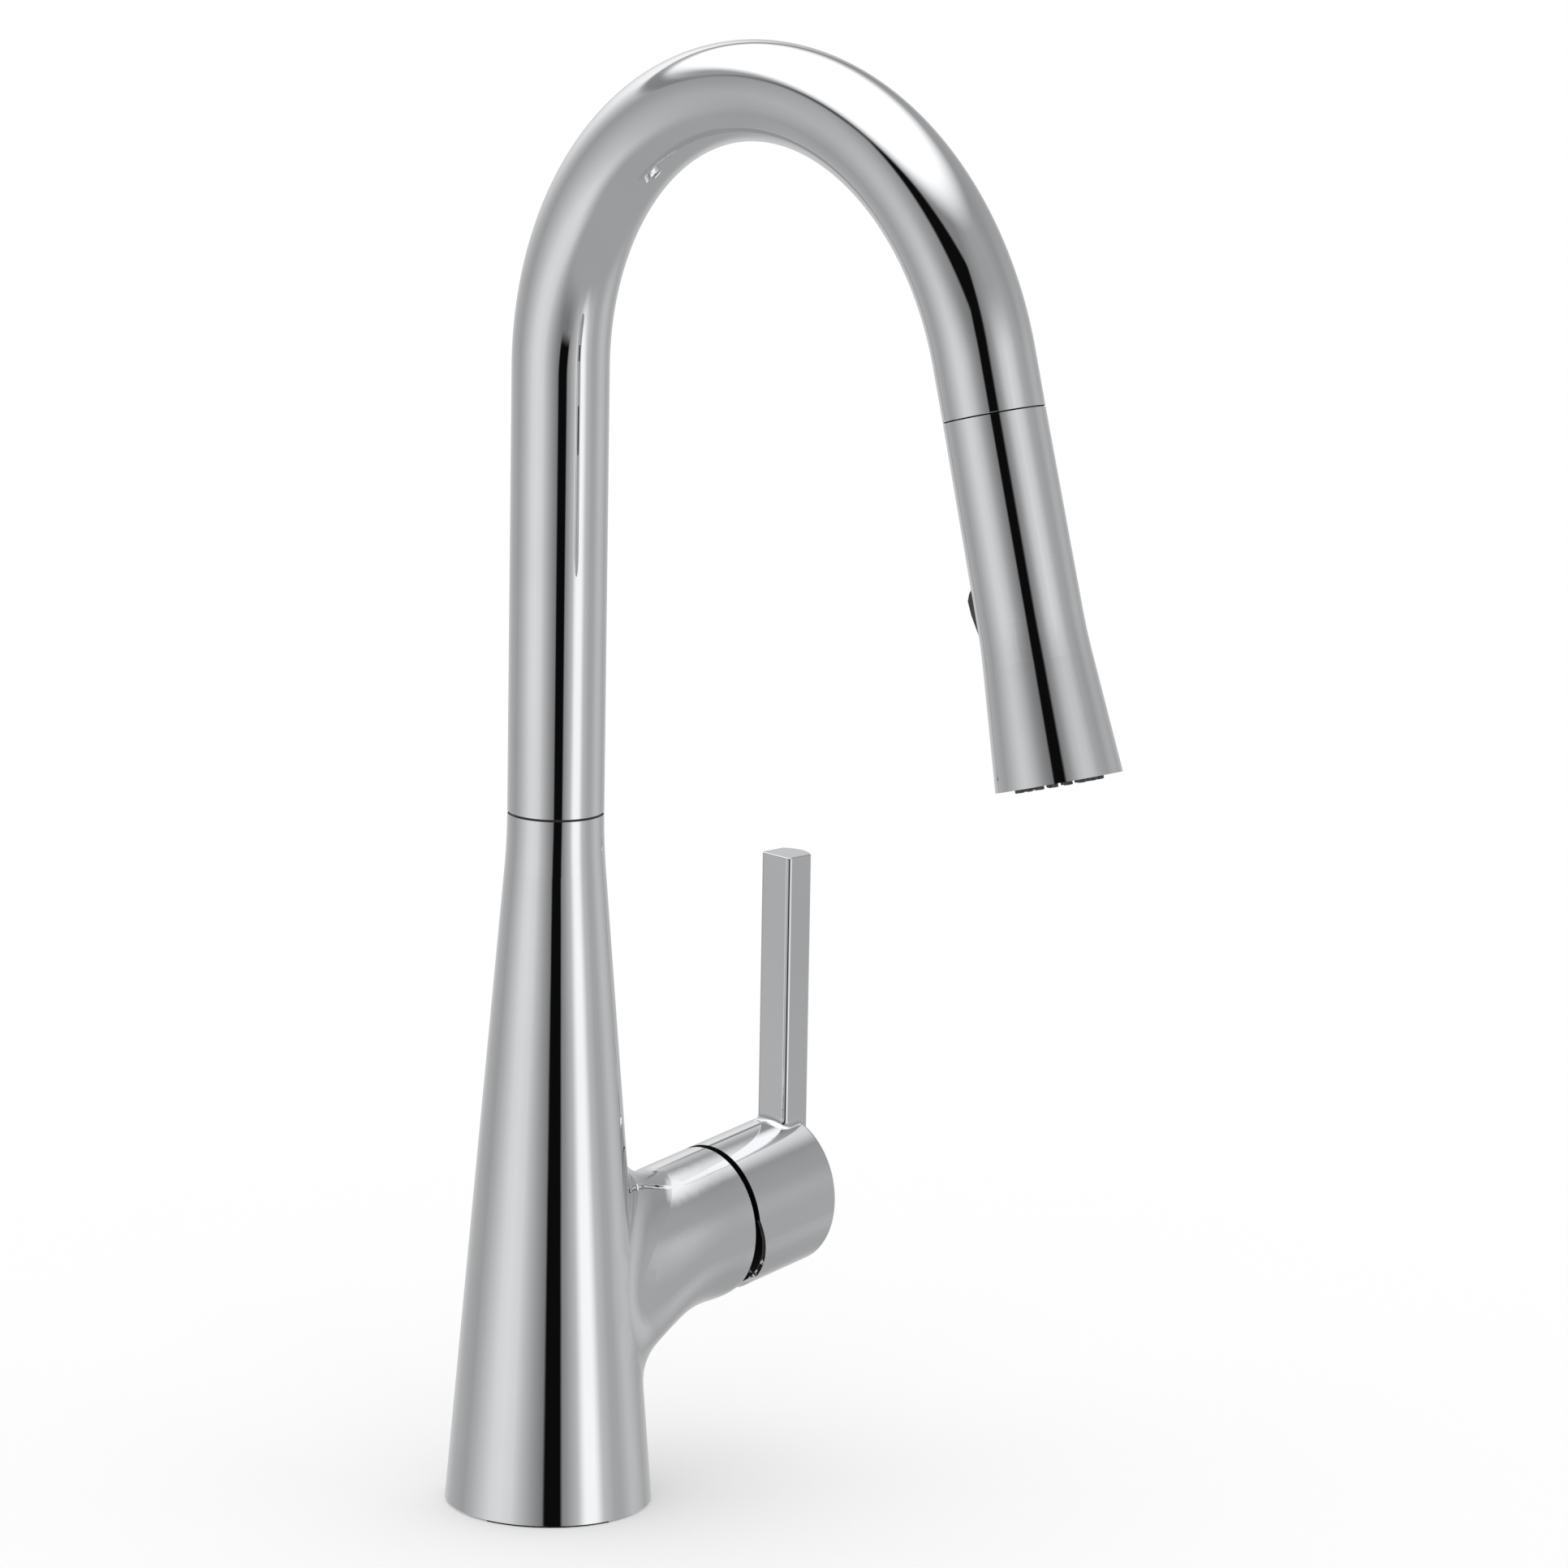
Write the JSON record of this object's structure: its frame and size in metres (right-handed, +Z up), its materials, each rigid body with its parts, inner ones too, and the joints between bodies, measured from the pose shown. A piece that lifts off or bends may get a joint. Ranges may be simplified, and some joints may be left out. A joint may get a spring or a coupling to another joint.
{
  "type": "pull down kitchen faucet",
  "caption": "Single-lever kitchen faucet: tapered column with a side valve hub and an upright lever, a swivelling arched spout and a pull-down spray head on a hose.",
  "frame": {"origin": "centre of the round base on the deck's top face", "axes": "+Z up along the column, the spout reaches towards -Y, the valve hub and the lever stand on the +X side"},
  "size_m": [0.1287, 0.2504, 0.5596],
  "materials": {
    "chrome_plate": "polished chrome plate on brass",
    "brass": "turned, unplated",
    "steel": "zinc-plated or stainless steel, satin",
    "copper": "drawn copper tube",
    "dark_plastic": "fine satin dark grey plastic",
    "white_plastic": "moulded acetal, natural white",
    "grey_plastic": "moulded plastic, mid grey",
    "dark_rubber": "moulded rubber, matt black",
    "nozzle_silicone": "soft dark grey silicone",
    "hose_cover": "braided nylon sheath, grey",
    "ceramic": "lapped ceramic, off-white",
    "magnet_metal": "nickel-plated sintered magnet"
  },
  "bodies": {
    "faucet_body": {"body_casting": "chrome_plate", "base_gasket": "dark_rubber", "seam_washer": "dark_plastic", "lower_spout_bush": "white_plastic", "upper_spout_bush": "white_plastic", "mounting_shank": "brass", "deck_washer": "dark_rubber", "clamp_washer": "steel", "mounting_nut": "brass", "clamp_screws": "steel", "hot_supply_tube": "copper", "cold_supply_tube": "copper", "outlet_tube": "copper", "hose_guide": "grey_plastic", "cartridge_housing": "grey_plastic", "cartridge_seals": "dark_rubber", "fixed_ceramic_disc": "ceramic", "cartridge_cover": "grey_plastic", "cartridge_nut": "brass", "bonnet_ring": "chrome_plate"},
    "mixing_carrier": {"stem_carrier": "grey_plastic", "stem_pin": "steel"},
    "sliding_disc": {"moving_ceramic_disc": "ceramic", "disc_driver": "white_plastic"},
    "handle": {"valve_stem": "brass", "lever_handle": "chrome_plate", "handle_set_screw": "steel", "set_screw_plug": "chrome_plate"},
    "spout": {"spout_tube": "chrome_plate", "spout_sleeve": "brass", "spout_snap_ring": "steel", "spout_o_rings": "dark_rubber", "dock_collar": "dark_plastic", "dock_magnet": "magnet_metal", "pull_down_hose": "hose_cover", "hose_tail_fitting": "brass"},
    "hose_end": {"hose_tail": "hose_cover", "hose_ferrule": "steel", "hose_nipple": "brass"},
    "spray_head": {"head_shell": "chrome_plate", "docking_ring": "white_plastic", "swivel_nut": "brass", "swivel_washer": "dark_rubber", "waterway": "white_plastic", "check_valve": "white_plastic", "head_seal": "dark_rubber", "nozzle_mat": "nozzle_silicone", "face_plate": "dark_plastic", "aerator_housing": "grey_plastic", "aerator_screens": "steel", "rocker_pin": "steel"},
    "mode_button": {"mode_rocker": "dark_plastic"},
    "diverter": {"diverter_spool": "white_plastic", "spool_seals": "dark_rubber"}
  },
  "joints": [
    {"name": "spout_swivel", "type": "hinge", "parent": "faucet_body", "child": "spout", "pos_m": [0, 0, 0.2062], "axis": [0, 0, 1], "range_deg": [-180, 180]},
    {"name": "handle_mix", "type": "hinge", "parent": "faucet_body", "child": "mixing_carrier", "pos_m": [0.05, 0, 0.0734], "axis": [1, 0, 0], "range_deg": [-45, 45]},
    {"name": "handle_flow", "type": "hinge", "parent": "mixing_carrier", "child": "handle", "pos_m": [0.05, 0, 0.0734], "axis": [0, 1, 0], "range_deg": [0, 15]},
    {"name": "disc_slide", "type": "slide", "parent": "mixing_carrier", "child": "sliding_disc", "axis": [0, 0, 1], "range_m": [0, 0.00183]},
    {"name": "head_pull", "type": "slide", "parent": "spout", "child": "hose_end", "axis": [0, -0.279, -0.9603], "range_m": [0, 0.4], "stiffness_N_per_m": 5, "springref_m": -1.3},
    {"name": "head_swivel", "type": "hinge", "parent": "hose_end", "child": "spray_head", "pos_m": [0, -0.17543, 0.34587], "axis": [0, -0.279, -0.9603], "continuous": true},
    {"name": "mode_rock", "type": "hinge", "parent": "spray_head", "child": "mode_button", "pos_m": [0, -0.18043, 0.29317], "axis": [1, 0, 0], "range_deg": [0, 8]},
    {"name": "diverter_slide", "type": "slide", "parent": "spray_head", "child": "diverter", "axis": [0, -0.9603, 0.279], "range_m": [0, 0.000698]}
  ],
  "couplings": [
    {"joint": "disc_slide", "follows": "handle_flow", "m_per_rad": 0.00698},
    {"joint": "mode_rock", "follows": "diverter_slide", "rad_per_m": 200}
  ]
}
